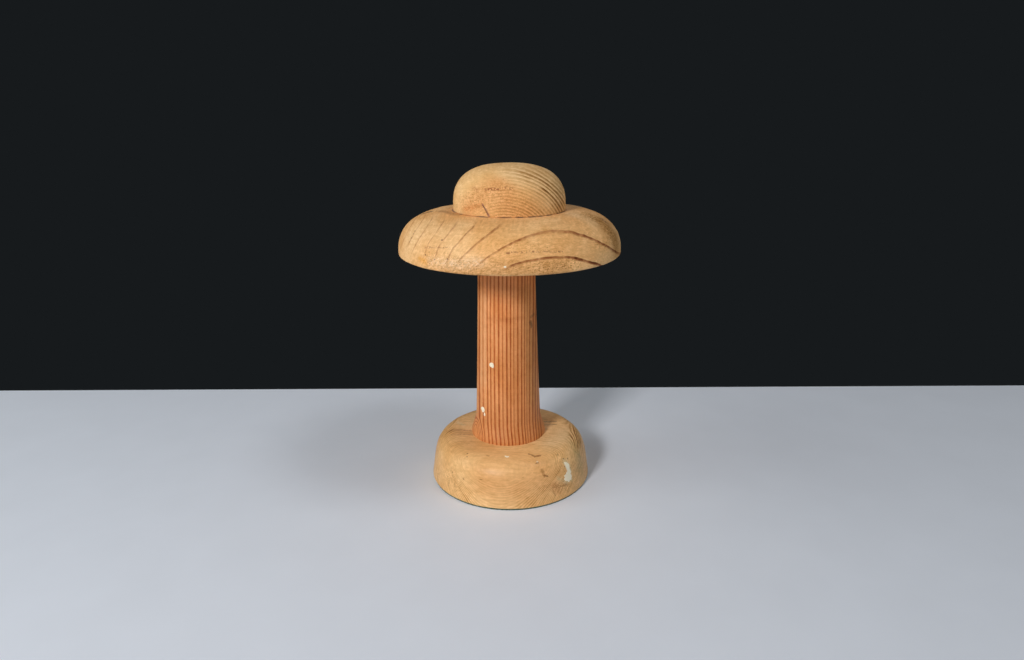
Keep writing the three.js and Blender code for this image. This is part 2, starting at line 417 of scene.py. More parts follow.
def wear(piece, bottom, top):
    """Takes an uneven skin off a block, as hand turning and years of use do, but not off its flat faces."""
    normals = [vertex.normal.copy() for vertex in piece.data.vertices]
    for vertex, normal in zip(piece.data.vertices, normals):
        if bottom < vertex.co.z < top:
            swing = noise.fractal(vertex.co / WEAR_SIZE, WEAR_FALLOFF, WEAR_STEP, WEAR_OCTAVES)
            vertex.co -= normal * WEAR_DEPTH * min(1, max(0, share_of(swing)))


def box_of(node):
    """A CAD node's radius, bottom and top."""
    low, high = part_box(node)
    return (high.x - low.x) / 2, low.z, high.z


def cut(piece, tools):
    """Cuts some closed meshes out of a piece."""
    joined = bmesh.new()
    for tool in tools:
        joined.from_mesh(tool)
    bmesh.ops.recalc_face_normals(joined, faces=joined.faces)
    tool_mesh = bpy.data.meshes.new("tool")
    joined.to_mesh(tool_mesh)
    tool_piece = link("tool", tool_mesh)
    boolean = piece.modifiers.new("cut", "BOOLEAN")
    boolean.object = tool_piece
    boolean.operation = "DIFFERENCE"
    boolean.solver = "EXACT"
    evaluated = piece.evaluated_get(bpy.context.evaluated_depsgraph_get())
    piece.data = bpy.data.meshes.new_from_object(evaluated)
    piece.modifiers.clear()
    bpy.data.objects.remove(tool_piece)


def settle(piece, node, material):
    """Makes a finished piece stand for its CAD node."""
    piece.data.shade_smooth()
    piece.data.set_sharp_from_angle(angle=CRISP_ANGLE)
    piece.data.materials.clear()
    piece.data.materials.append(material)
    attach(piece, "root")
    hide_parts(node)


def bore(radius, bottom, top, x):
    outline = [(0, bottom), (radius, bottom), (radius, top), (0, top)]
    return turned_mesh("bore", outline, HOLE_COLUMNS, lambda height: x)


def turned_block(name, node, form):
    """A round block with an eased foot, a wall, a rounded shoulder and a flat top."""
    radius, bottom, top = box_of(node)
    wall_foot = (radius, bottom + form.ease)
    wall_top = (radius - form.wall_slope * form.wall_height, bottom + form.wall_height)
    outline = [
        *flat(radius - form.ease, bottom, outwards=True),
        *rounded_edge(radius, bottom, form.ease),
        *line(wall_foot, wall_top, WALL_ROWS if form.wall_height > form.ease else 0),
        *shoulder(wall_top, (form.flat_radius, top), form.shoulder_power, form.wall_slope),
        *flat(form.flat_radius, top, outwards=False),
    ]
    piece = link(name, turned_mesh(name, outline, BLOCK_COLUMNS))
    wear(piece, bottom, top)
    return piece


def make_base():
    piece = turned_block("base_block", "base", BASE)
    _, bottom, top = box_of("base")
    washer_radius, _, counterbore_top = box_of("base_washer")
    _, spigot_bottom, _ = box_of("column")
    socket_bottom = spigot_bottom - JOINERY.end_gap
    cut(piece, [
        bore(JOINERY.foot_spigot_radius + JOINERY.glue_gap, socket_bottom, top + OVERRUN,
             COLUMN.foot_shift),
        bore(JOINERY.screw_radius + JOINERY.glue_gap, counterbore_top - OVERRUN,
             socket_bottom + OVERRUN, COLUMN.foot_shift),
        bore(washer_radius + JOINERY.washer_gap, bottom - OVERRUN, counterbore_top,
             COLUMN.foot_shift),
    ])
    return piece


def make_brim():
    piece = turned_block("brim_block", "brim", BRIM)
    _, bottom, top = box_of("brim")
    socket_radius = JOINERY.head_spigot_radius + JOINERY.glue_gap
    socket = bore(socket_radius, bottom - OVERRUN, top + OVERRUN, COLUMN.head_shift)
    cut(piece, [socket, *dowel_holes()])
    return piece


def dowel_holes():
    holes = []
    for node in ("dowel_left", "dowel_right"):
        radius, bottom, top = box_of(node)
        low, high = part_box(node)
        holes.append(bore(radius + JOINERY.glue_gap, bottom - JOINERY.end_gap,
                          top + JOINERY.end_gap, (low.x + high.x) / 2))
    return holes


def make_crown():
    piece = turned_block("crown_block", "crown", CROWN)
    cut(piece, dowel_holes())
    return piece


def smooth_step(share):
    share = min(1, max(0, share))
    return share * share * (3 - 2 * share)


def make_column():
    foot_radius, spigot_bottom, spigot_top = box_of("column")
    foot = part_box("base")[1].z
    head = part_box("brim")[0].z
    flare_width = foot_radius - COLUMN.waist_radius

    def radius_at(height):
        up = (height - foot) / (head - foot)
        taper = (COLUMN.waist_radius - COLUMN.head_radius) * (1 - up) ** COLUMN.taper_power
        flare = flare_width * (1 - smooth_step((height - foot) / COLUMN.flare_height))
        return COLUMN.head_radius + taper + flare

    def centre(height):
        up = min(1, max(0, (height - foot) / (head - foot)))
        return COLUMN.foot_shift + (COLUMN.head_shift - COLUMN.foot_shift) * up

    chamfer = JOINERY.spigot_chamfer
    foot_spigot = JOINERY.foot_spigot_radius
    head_spigot = JOINERY.head_spigot_radius
    heights = [foot + (head - foot) * i / COLUMN_ROWS for i in range(COLUMN_ROWS + 1)]
    outline = [
        *flat(foot_spigot - chamfer, spigot_bottom, outwards=True),
        (foot_spigot - chamfer, spigot_bottom),
        (foot_spigot, spigot_bottom + chamfer),
        (foot_spigot, foot),
        *((radius_at(height), height) for height in heights),
        (head_spigot, head),
        (head_spigot, spigot_top - chamfer),
        (head_spigot - chamfer, spigot_top),
        *flat(head_spigot - chamfer, spigot_top, outwards=False),
    ]
    piece = link("column_turning", turned_mesh("column_turning", outline, COLUMN_COLUMNS, centre))
    _, _, screw_tip = box_of("base_screw")
    cut(piece, [
        bore(JOINERY.screw_radius + JOINERY.glue_gap, spigot_bottom - OVERRUN,
             screw_tip + JOINERY.end_gap, COLUMN.foot_shift),
        kerf(spigot_top),
    ])
    return piece


def kerf(top):
    """The saw cut in the column's upper spigot, spread by its wedge."""
    half_length = JOINERY.head_spigot_radius + OVERRUN
    sides = [
        (JOINERY.kerf_width / 2, top - JOINERY.kerf_depth),
        (JOINERY.kerf_mouth_width / 2, top),
        (JOINERY.kerf_mouth_width / 2, top + OVERRUN),
    ]
    section = [*sides, *((-x, z) for x, z in reversed(sides))]
    rings = [[(COLUMN.head_shift + x, y, z) for x, z in section] for y in (-half_length, half_length)]
    return closed_mesh("kerf", rings)


def make_baize():
    radius, bottom, top = box_of("baize_pad")
    outline = [
        *flat(radius, bottom, outwards=True),
        (radius, bottom),
        (radius, (bottom + top) / 2),
        (radius, top),
        *flat(radius, top, outwards=False),
    ]
    piece = link("baize_disc", turned_mesh("baize_disc", outline, BAIZE_COLUMNS))
    for vertex in piece.data.vertices:
        if vertex.co.xy.length > radius - RAGGED_DEPTH:
            swing = noise.noise(vertex.co / RAGGED_SIZE)
            vertex.co.xy *= 1 - RAGGED_DEPTH / radius * share_of(swing)
    return piece


def between(ends, share):
    """The point and normal at a share of the way along a chain of them."""
    position = share * (len(ends) - 1)
    first = min(int(position), len(ends) - 2)
    start, end = ends[first], ends[first + 1]
    return [a.lerp(b, position - first) for a, b in zip(start, end)]


def crack_tool(piece, crack):
    """A thin wedge that cuts a drying crack along its pixels, widest and deepest in its middle."""
    ends = [seen_at(pixel, piece) for pixel in crack.pixels]
    course = (ends[-1][0] - ends[0][0]).normalized()
    rings = []
    for i in range(CRACK_STEPS + 1):
        share = i / CRACK_STEPS
        point, normal = between(ends, share)
        side = course.cross(normal).normalized()
        point = point + side * noise.noise(point / CRACK_WANDER_SIZE) * CRACK_WANDER
        openness = math.sin(math.pi * (CRACK_END_SHARE + (1 - 2 * CRACK_END_SHARE) * share)) ** 0.5
        half = side * openness * crack.width / 2
        over = normal * OVERRUN
        rings.append([point + over - half, point - normal * crack.depth * openness, point + over + half])
    return closed_mesh("crack", rings)


def smooth_loop(corners, count):
    """A closed Catmull-Rom curve, which runs smoothly through some corners."""
    loop = []
    for i in range(count):
        position = i * len(corners) / count
        first = int(position)
        t = position - first
        before, start, end, after = (Vector(corners[(first + k) % len(corners)]) for k in (-1, 0, 1, 2))
        bend = 2 * before - 5 * start + 4 * end - after
        twist = 3 * start - before - 3 * end + after
        loop.append(0.5 * (2 * start + (end - before) * t + bend * t ** 2 + twist * t ** 3))
    return loop


def make_dab(name, dab, block):
    """A dab of old paint on a block, inside its pixels. More squareness gives it a flatter top."""
    loop = smooth_loop(dab.pixels, PAINT_COLUMNS)
    middle = sum(loop, Vector((0, 0))) / PAINT_COLUMNS
    point, normal = seen_at(middle, block)
    under = [[point - normal * PAINT_SUNK]]
    over = [[point + normal * dab.thickness]]
    for row in range(1, PAINT_ROWS + 1):
        share = row / PAINT_ROWS
        seen = [seen_at(middle + (corner - middle) * share, block) for corner in loop]
        lift = dab.thickness * (1 - share ** dab.squareness) ** 0.5
        lumps = [1 + PAINT_LUMPS * noise.noise(point / PAINT_LUMP_SIZE) for point, normal in seen]
        under.append([point - normal * PAINT_SUNK for point, normal in seen])
        over.append([point + normal * (lift * lump - PAINT_SUNK / 2)
                     for (point, normal), lump in zip(seen, lumps)])
    mesh = closed_mesh(name, under + over[::-1])
    mesh.shade_smooth()
    mesh.materials.append(paint_material)
    piece = link(name, mesh)
    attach(piece, "root")


# Wood

# Each block's growth rings are circles round the centre line of its tree, given by a point and a
# direction. The ring number at a distance r from that line is start + per_mm * r + per_mm2 * r * r, or it
# is counted from the radii of the dark lines, where those are given.
CROWN_RING = 2.7
CROWN_TREE = Values(pith=(-7.4, 0, 262.7), fibre=(-0.049, 1, 0.022), start=-43 / CROWN_RING,
                    per_mm=1 / CROWN_RING, per_mm2=0, middle=Vector((0, 0, 312)))
BRIM_TREE = Values(pith=(36.8, 0, 205.3), fibre=(0.062, 1, 0.118),
                   radii=(30, 52, 71.6, 87.4, 100.6, 110.7, 120.7, 129.1, 138, 144.3, 150.7, 158),
                   strengths=(1, 1, 0.7, 0.6, 0.6, 0.45, 0.45, 0.45, 0.35, 0.6, 0.45),
                   middle=Vector((0, 0, 268)))
BASE_TREE = Values(pith=(0, 12.3, -44.5), fibre=(1, -0.148, -0.006), start=0, per_mm=0,
                   per_mm2=1 / 250, middle=Vector((0, 0, 25)))
HARDWOOD_TREE = Values(pith=(60, 25, 0), fibre=(0, 0, 1), start=0, per_mm=1 / 2.2, per_mm2=0,
                       middle=Vector((0, 0, 0)))

# Where the dark lines cross the front of the column at mid height, along X, and how far in front of the
# centre line of its tree that is
COLUMN_LINES = (41, 37, 33.5, 29.5, 26, 21.5, 18.5, 15.5, 12, 7.5, 3.5, 0, -4, -8, -12, -16, -19.5,
                -22.5, -26.5, -30, -34, -37.5, -41.5)
COLUMN_PITH_X = 146.9
COLUMN_FRONT = 33
COLUMN_TREE = Values(pith=(COLUMN_PITH_X, 0, 150), fibre=(0.023, -0.066, 1),
                     radii=tuple(math.hypot(COLUMN_PITH_X - x, COLUMN_FRONT) for x in COLUMN_LINES),
                     middle=Vector((0, 0, 150)))

# The patterns in the woods. The fibre, the warp of the rings and their waver have a size for each wood.
FIBRE_STRETCH = 24
WARP_STRETCH = 4
ARC_RADIUS = 60
ARC_STRETCH = 3
STREAK = pattern(size=2.4, detail=2, stretch=30)
BLOTCH = pattern(size=26, detail=3, stretch=2)
PATCH = pattern(size=8, detail=2)
MOTTLE = pattern(size=3.2, detail=3, roughness=0.65, stretch=2)
FUZZ = pattern(size=1.3, detail=3, roughness=0.7, stretch=3)
GRIT = pattern(size=1.6, detail=2)
BEAD = pattern(size=5, detail=1)
TURNING = pattern(size=1, detail=1, stretch=6)
TURNING_BAND = pattern(size=5, detail=2, stretch=6)
STAIN_AND_PAINTED_LIGHT_EDGE = pattern(size=3, detail=2)
STAIN_AND_PAINTED_LIGHT_EDGE_REACH = 0.9
HAZE = pattern(size=13, detail=3)

# Small marks at scattered points, about size apart: torn pits, pale flecks, and short dark dashes along
# the fibre. Edge is where a mark starts and where it is full, as shares of size. Luck is the range of
# chances over which marks come to show, and the other values are what the noises add to a mark's chance.
PIT = Values(size=1.25, stretch=1.5, edge=(0.5, 0.2), luck=(0.85, 1.15), turning=0.7, patch=0.5)
FLECK = Values(size=1.9, stretch=2, seed=5, edge=(0.5, 0.15), luck=(0.9, 1.2), patch=0.6, paleness=0.15)
DASH = Values(size=4.5, stretch=10, edge=(0.12, 0.05), depth=0.6)

# The ranges over which rings fade on a level top, and break up in some patches, the lines swell and thin
# out, stains and patches of painted light and shade break up in the grit, and the wood turns from its early
# colour to amber
LEVEL_TOP = (0.95, 0.995)
BROKEN_PATCHES = (0.45, 0.62)
BEADED_LINES = (0.35, 0.65)
BROKEN_STAINS_AND_PAINTED_LIGHT = (0.42, 0.58)
AMBER_BLOTCHES = (0.35, 0.7)

# How squarely a surface cuts the fibres before it shows the colour of end grain
END_SHARPNESS = 6

# What torn grain adds to the contrast of some patterns, and heights in the surface in millimetres
TORN_CONTRAST = Values(mottle=0.35, fuzz=0.7, turning=0.3)
HEIGHT = Values(fibre=0.02, mottle=0.02, fuzz=0.01, torn_fuzz=0.04, turning=0.012, torn_turning=0.02,
                pit=0.05, dash=0.02)
ROUGHNESS = Values(fibre=0.12, torn=0.15, blotch=0.1)


class Grain:
    """Where a point of the wood lay in its tree, and lies in its block, in millimetres."""

    def __init__(self, shader, tree, look, swirls):
        self.shader = shader
        self.x, self.y, self.height = shader.separate(shader.place)
        self.girth = (self.x * self.x + self.y * self.y) ** 0.5

        along = Vector(tree.fibre).normalized()
        outwards = tree.middle - Vector(tree.pith)
        outwards = (outwards - along * outwards.dot(along)).normalized()
        across = along.cross(outwards)
        offset = shader.vector("SUBTRACT", shader.place, tree.pith)
        self.u, self.v, self.w = (shader.vector("DOT_PRODUCT", offset, axis)
                                  for axis in (outwards, across, along))

        warp = pattern(look.warp_size, detail=1)
        waver = pattern(look.waver_size, detail=1)
        warped = shader.wander(self.stretched(WARP_STRETCH), warp, look.warp_reach)
        warped = shader.wander(warped, waver, look.waver_reach)
        u, v, _ = shader.separate(warped)
        self.radius = (u * u + v * v) ** 0.5
        self.arc = shader.math("ARCTAN2", v, u) * ARC_RADIUS
        self.number = self.count(tree) + self.swirl(swirls)
        self.ring = shader.math("FLOOR", self.number)
        self.share = shader.math("FRACT", self.number)

        # How squarely the surface cuts across the fibres, and across the rings
        self.end_share = shader.math("ABSOLUTE", shader.vector("DOT_PRODUCT", shader.normal, along))
        normal_u = shader.vector("DOT_PRODUCT", shader.normal, outwards)
        normal_v = shader.vector("DOT_PRODUCT", shader.normal, across)
        facing = (normal_u * self.u + normal_v * self.v) / self.radius
        self.crossing = 1 - shader.math("ABSOLUTE", facing)

    def stretched(self, factor):
        """The place in the tree, for a pattern that is longer by a factor along the fibre."""
        return self.shader.combine(self.u, self.v, self.w / factor)

    def rolled_out(self, factor):
        """The place in the tree, for a pattern that is also longer round its rings."""
        return self.shader.combine(self.radius, self.arc / ARC_STRETCH, self.w / factor)

    def turned(self, factor):
        """The place in the block, for a pattern that is longer the way that the tool went round it."""
        return self.shader.combine(self.x / factor, self.y / factor, self.height - self.girth)

    def count(self, tree):
        """The number of rings inside this place, with its share of the ring that it is in."""
        if not hasattr(tree, "radii"):
            return tree.start + self.radius * tree.per_mm + self.radius * self.radius * tree.per_mm2
        number = None
        for inner, outer in zip(tree.radii, tree.radii[1:]):
            step = self.shader.ramp(self.radius, inner, outer, "LINEAR")
            number = step if number is None else number + step
        return number

    def strength(self, tree, look, mood):
        """How strongly this place's ring shows: by the tree's own list, or by chance."""
        if not hasattr(tree, "strengths"):
            return 1 - look.ring_variety * mood
        total = tree.strengths[0]
        for i, (before, after) in enumerate(zip(tree.strengths, tree.strengths[1:])):
            total = self.shader.math("GREATER_THAN", self.number, i + 1) * (after - before) + total
        return total

    def swirl(self, swirls):
        """Rings pushed aside, by the strength of each swirl, as they are round a small knot."""
        shift = 0
        for swirl in swirls:
            gap = self.shader.distance(self.shader.place, swirl.points)
            shift = self.shader.ramp(gap, swirl.reach, 0) * swirl.strength + shift
        return shift


def of_kind(marks, kind):
    return [mark for mark in marks if mark.kind == kind]


def cover_of(shader, place, mark):
    """How much a stain, a patch of painted light or shade, or a zone covers a place, from 0 to its
    strength.
    """
    gap = shader.distance(place, mark.points)
    return shader.ramp(gap, mark.reach, mark.reach * (1 - mark.soft)) * mark.strength


def covered(shader, place, marks, kind):
    """How much the strongest zone of a kind covers a place."""
    total = 0
    for zone in of_kind(marks, kind):
        total = shader.math("MAXIMUM", total, cover_of(shader, place, zone))
    return total


def wood_noises(shader, grain, look):
    """The noises that a wood is made of."""
    return Values(
        fibre=shader.noise(grain.rolled_out(FIBRE_STRETCH),
                           pattern(look.fibre_size, detail=2, roughness=0.6)),
        streak=shader.noise(grain.stretched(STREAK.stretch), STREAK),
        blotch=shader.noise(grain.stretched(BLOTCH.stretch), BLOTCH),
        patch=shader.noise(shader.place, PATCH),
        mottle=shader.noise(grain.stretched(MOTTLE.stretch), MOTTLE),
        fuzz=shader.noise(grain.rolled_out(FUZZ.stretch), FUZZ),
        grit=shader.noise(shader.place, GRIT),
        beads=shader.noise(shader.place, BEAD),
        turning=shader.noise(grain.turned(TURNING.stretch), TURNING),
        band=shader.noise(grain.turned(TURNING_BAND.stretch), TURNING_BAND))


def late_wood(shader, grain, tree, look, marks, noises, hazy):
    """How dark the rings make a place. Each darkens slowly from its pale early wood to a crisp line."""
    mood = shader.chance(grain.ring, look.seed)
    begin = look.late_start + (mood - MIDDLE) * look.late_jitter
    frayed = grain.share + (noises.fibre - MIDDLE) * look.fray
    rise = shader.ramp(frayed, begin, begin + look.late_rise)
    fall = shader.ramp(frayed, 1, 1 - look.late_fall)
    _, _, upwards = shader.separate(shader.normal)
    strength = (grain.strength(tree, look, mood)
                * (1 - look.flat_fade * shader.ramp(upwards, *LEVEL_TOP))
                * (1 - look.broken * shader.ramp(noises.patch, *BROKEN_PATCHES))
                * (1 - covered(shader, hazy, marks, "faded"))
                * shader.ramp(grain.crossing, 0, look.crossing_fade)
                * (1 + covered(shader, hazy, marks, "bold")))
    return rise * fall * strength * (1 + look.beading * (shader.ramp(noises.beads, *BEADED_LINES) - MIDDLE))


def torn_grain(shader, grain, look, marks, hazy):
    """How badly turning tore the grain: where it was cut across, and in rough zones."""
    torn = shader.ramp(grain.end_share, look.torn_start, look.torn_full) * look.torn
    return shader.math("MAXIMUM", torn, covered(shader, hazy, marks, "rough"))


def small_marks(shader, grain, look, noises, torn):
    """Pits and pale flecks in torn grain, and dashes: resin ducts and dirt in the open grain."""
    gap, luck = shader.cells(grain.turned(PIT.stretch), PIT.size)
    luck = luck + noises.turning * PIT.turning + noises.patch * PIT.patch
    pit = shader.ramp(gap, *PIT.edge) * shader.ramp(luck, *PIT.luck) * torn

    gap, luck = shader.cells(grain.turned(FLECK.stretch), FLECK.size, FLECK.seed)
    luck = luck + noises.patch * FLECK.patch
    fleck = shader.ramp(gap, *FLECK.edge) * shader.ramp(luck, *FLECK.luck) * torn

    gap, luck = shader.cells(grain.stretched(DASH.stretch), DASH.size, look.seed)
    dash = shader.ramp(gap, *DASH.edge) * shader.ramp(luck, 1 - look.dashes, 1 - look.dashes / 2)
    return pit, fleck, dash


def with_stains_and_painted_light(shader, colour, stains_and_painted_light, grit):
    """A colour with some stains, and some patches of painted light and shade, on it, whose edges wander."""
    wandering = shader.wander(shader.place, STAIN_AND_PAINTED_LIGHT_EDGE, STAIN_AND_PAINTED_LIGHT_EDGE_REACH)
    for stain in stains_and_painted_light:
        cover = cover_of(shader, wandering, stain)
        cover = cover * (1 - stain.broken * shader.ramp(grit, *BROKEN_STAINS_AND_PAINTED_LIGHT))
        colour = shader.mix(colour, linear(stain.colour), cover)
    return colour


def seamed(shader, colour, grain, seam, noises):
    """A colour darkened in a broken line along the seam between two blocks: painted shade, with some dirt.
    """
    gap = (shader.math("ABSOLUTE", grain.girth - seam.girth)
           + shader.math("ABSOLUTE", grain.height - seam.height))
    cover = (shader.ramp(gap + (noises.mottle - MIDDLE) * seam.ragged, seam.reach, 0)
             * (seam.least + (1 - seam.least) * shader.ramp(noises.patch, *seam.patches)))
    return shader.mix(colour, linear(seam.colour), cover * seam.strength)


def wood(name, tree, look, marks):
    shader = Shader(name)
    grain = Grain(shader, tree, look, of_kind(marks, "swirl"))
    noises = wood_noises(shader, grain, look)
    hazy = shader.wander(shader.place, HAZE, look.haze_reach)
    late = late_wood(shader, grain, tree, look, marks, noises, hazy)
    torn = torn_grain(shader, grain, look, marks, hazy)
    pit, fleck, dash = small_marks(shader, grain, look, noises, torn)
    fibre = noises.fibre - MIDDLE
    mottle = noises.mottle - MIDDLE
    fuzz = noises.fuzz - MIDDLE
    turning = noises.turning - MIDDLE

    colour = shader.mix(linear(look.early), linear(look.amber), shader.ramp(noises.blotch, *AMBER_BLOTCHES))
    colour = shader.mix(colour, linear(look.end), grain.end_share ** END_SHARPNESS * look.end_strength)
    colour = with_stains_and_painted_light(shader, colour, of_kind(marks, "stain"), noises.grit)
    colour = shader.deepen(colour, late * look.contrast, look.late_uptake)
    depth = (fibre * look.fibre_contrast
             + (noises.streak - MIDDLE) * look.streak_contrast
             + mottle * (look.mottle_contrast + torn * TORN_CONTRAST.mottle)
             + fuzz * (look.fuzz_contrast + torn * TORN_CONTRAST.fuzz)
             + turning * (look.turning_contrast + torn * TORN_CONTRAST.turning)
             + (noises.band - MIDDLE) * look.turning_contrast
             + pit * look.pit_depth + dash * DASH.depth - fleck * FLECK.paleness)
    colour = shader.deepen(colour, depth)
    if look.seam is not None:
        colour = seamed(shader, colour, grain, look.seam, noises)

    height = (late * look.relief + fibre * HEIGHT.fibre + mottle * HEIGHT.mottle
              + fuzz * (HEIGHT.fuzz + torn * HEIGHT.torn_fuzz)
              + turning * (HEIGHT.turning + torn * HEIGHT.torn_turning)
              - pit * HEIGHT.pit - dash * HEIGHT.dash)
    roughness = (look.roughness + fibre * ROUGHNESS.fibre + torn * ROUGHNESS.torn
                 + (noises.blotch - MIDDLE) * ROUGHNESS.blotch)
    return shader.finish(colour, roughness, height, **{"Specular IOR Level": look.gloss})


# The seam darkens a broken line round the foot of the crown block, painted shade with some dirt. The looks
# of the woods follow, with a column each for the crown, the brim, the base and the column. Sizes, reaches
# and relief are millimetres, and where the dark wood starts, rises and falls is in shares of a ring.
CROWN_SEAM = Values(girth=56, height=289.5, reach=1.8, ragged=1.5, least=0.15, patches=(0.42, 0.6),
                    colour="#5E4250", strength=0.85)
LOOKS = {
    "seed": (11, 23, 37, 53),
    "seam": (CROWN_SEAM, CROWN_SEAM, None, None),

    # Pale wood, its deeper blotches, its end grain, and how much red, green and blue the rings take up
    "early": ("#F2C88E", "#F2C287", "#F3C68B", "#E8A066"),
    "amber": ("#E9BA7C", "#E7B071", "#E8B678", "#DC8F52"),
    "end": ("#DC9E60", "#D3975A", "#D3A066", "#A5602F"),
    "end_strength": (0.5, 0.5, 0.3, 0.4),
    "late_uptake": ((1, 1.38, 2.05), (1, 1.42, 1.6), (1, 1.45, 2.3), (1, 1.9, 2.9)),

    # How far the rings stray from true circles, and zones from their pixels
    "warp_size": (40, 60, 45, 80),
    "warp_reach": (0.8, 0.5, 0.8, 0.3),
    "waver_size": (7, 8, 7, 9),
    "waver_reach": (0.25, 0.45, 0.3, 0.15),
    "haze_reach": (7, 5, 8, 6),

    # Where in a ring its dark wood starts, how it rises and falls, and what varies or weakens it
    "late_start": (0.2, 0.84, 0.3, 0.48),
    "late_rise": (0.55, 0.11, 0.45, 0.34),
    "late_fall": (0.16, 0.035, 0.2, 0.12),
    "late_jitter": (0.2, 0.03, 0.2, 0.15),
    "contrast": (0.22, 0.75, 0.34, 0.64),
    "ring_variety": (0.25, None, 0.6, 0.35),
    "fray": (0.16, 0.03, 0.2, 0.08),
    "broken": (0.25, 0.2, 0.4, 0.15),
    "beading": (0.3, 0.7, 0.4, 0.3),
    "crossing_fade": (0.03, 0.02, 0.06, 0.03),
    "flat_fade": (0.3, 0.9, 0, 0),
    "relief": (0.015, 0.02, 0.015, 0.015),

    # Torn grain, and small marks in the grain
    "torn": (0.35, 0.45, 0.2, 0.3),
    "torn_start": (0.85, 0.8, 0.9, 0.9),
    "torn_full": (1, 0.97, 1, 1),
    "dashes": (0.12, 0.14, 0.2, 0.12),
    "pit_depth": (0.6, 0.6, 0.5, 0.5),

    # How strongly each pattern shows, and the finish
    "fibre_size": (0.6, 0.6, 0.9, 0.5),
    "fibre_contrast": (0.3, 0.35, 0.28, 0.3),
    "streak_contrast": (0.12, 0.15, 0.25, 0.2),
    "mottle_contrast": (0.25, 0.3, 0.2, 0.15),
    "fuzz_contrast": (0.42, 0.4, 0.28, 0.3),
    "turning_contrast": (0.15, 0.25, 0.16, 0.12),
    "roughness": (0.6, 0.58, 0.38, 0.52),
    "gloss": (0.1, 0.1, 0.2, 0.22),
}
CROWN_LOOK, BRIM_LOOK, BASE_LOOK, COLUMN_LOOK = (
    Values(**dict(zip(LOOKS, wood_values))) for wood_values in zip(*LOOKS.values()))
HARDWOOD_LOOK = Values(**{**vars(CROWN_LOOK), "seed": 71, "early": "#DDBE8F", "amber": "#D3AF7C",
                          "end": "#C7A06D", "seam": None, "contrast": 0.3, "torn": 0, "roughness": 0.7})

# Marks of age, placed by the pixels of the picture that show them

CROWN_CHECK = Values(pixels=[(482.5, 204.5), (485, 209), (487, 213), (489, 216.5)],
                     width=0.9 * MM, depth=3 * MM)
BRIM_CRACK = Values(pixels=[(421.5, 214.3), (431, 211.6)], width=1.7 * MM, depth=3 * MM)
BASE_NICK = Values(pixels=[(452.6, 424), (456.2, 420.2)], width=1.6 * MM, depth=1 * MM)

PAINT_SMEAR = Values(
    pixels=[(563.3, 461.2), (565.4, 460.9), (567.6, 462), (569.3, 463.7), (569.7, 466.4), (570.3, 469.8),
            (571.2, 471.4), (570.8, 474), (572.1, 475.8), (571.6, 478.4), (572, 480), (569.8, 480.8),
            (569.3, 482.9), (567.4, 481.4), (565.6, 481.7), (563.8, 479.6), (564.9, 477.8), (563.6, 476.3),
            (565.7, 474.6), (566, 472.6), (567.5, 470.6), (566.9, 468.2), (567.9, 466.6), (566.3, 464.8),
            (564.8, 462.8)],
    thickness=0.15 * MM, squareness=6)
PAINT_FLAKE = Values(
    pixels=[(504.6, 455.6), (507.5, 456.1), (509.6, 456.3), (508.3, 457.3), (506.2, 457.4), (504.9, 456.6)],
    thickness=0.25 * MM, squareness=6)
UPPER_DROP = Values(
    pixels=[(490.2, 362.9), (492, 362.6), (493.6, 364), (494, 366.3), (493.2, 368.2), (491.6, 367.6),
            (490, 366.4), (489.2, 364.6)],
    thickness=0.7 * MM, squareness=2)
LOWER_DROP = Values(
    pixels=[(481.5, 406.9), (483.2, 406.9), (484.6, 409.6), (484.5, 411.6), (482.9, 412.5), (481.7, 410.3),
            (480.9, 408)],
    thickness=0.6 * MM, squareness=2)
DROP_TAIL = Values(pixels=[(484.4, 412.4), (485.2, 413.8), (485.4, 415.6), (484.2, 416), (483.8, 414.2)],
                   thickness=0.35 * MM, squareness=2)
BRIM_SPECK = Values(pixels=[(503.8, 266.3), (505.8, 266), (506.6, 267.2), (505.3, 268), (504, 267.6)],
                    thickness=0.3 * MM, squareness=2)


def stain(pixels, reach, colour, strength, soft=1, broken=0):
    """A stain, or a patch of painted light or shade, along some pixels. Soft is the share of its reach that
    it fades over.
    """
    return Values(kind="stain", pixels=pixels, reach=reach, colour=colour, strength=strength, soft=soft,
                  broken=broken)


def spot(pixel, reach, colour, strength, broken=0):
    """A small round stain with a firmer edge."""
    return stain([pixel], reach, colour, strength, soft=0.7, broken=broken)


def zone(kind, pixels, reach, strength, soft=1):
    """A place along some pixels with faded or bold rings, rough grain, or a swirl of that many rings."""
    return Values(kind=kind, pixels=pixels, reach=reach, strength=strength, soft=soft)


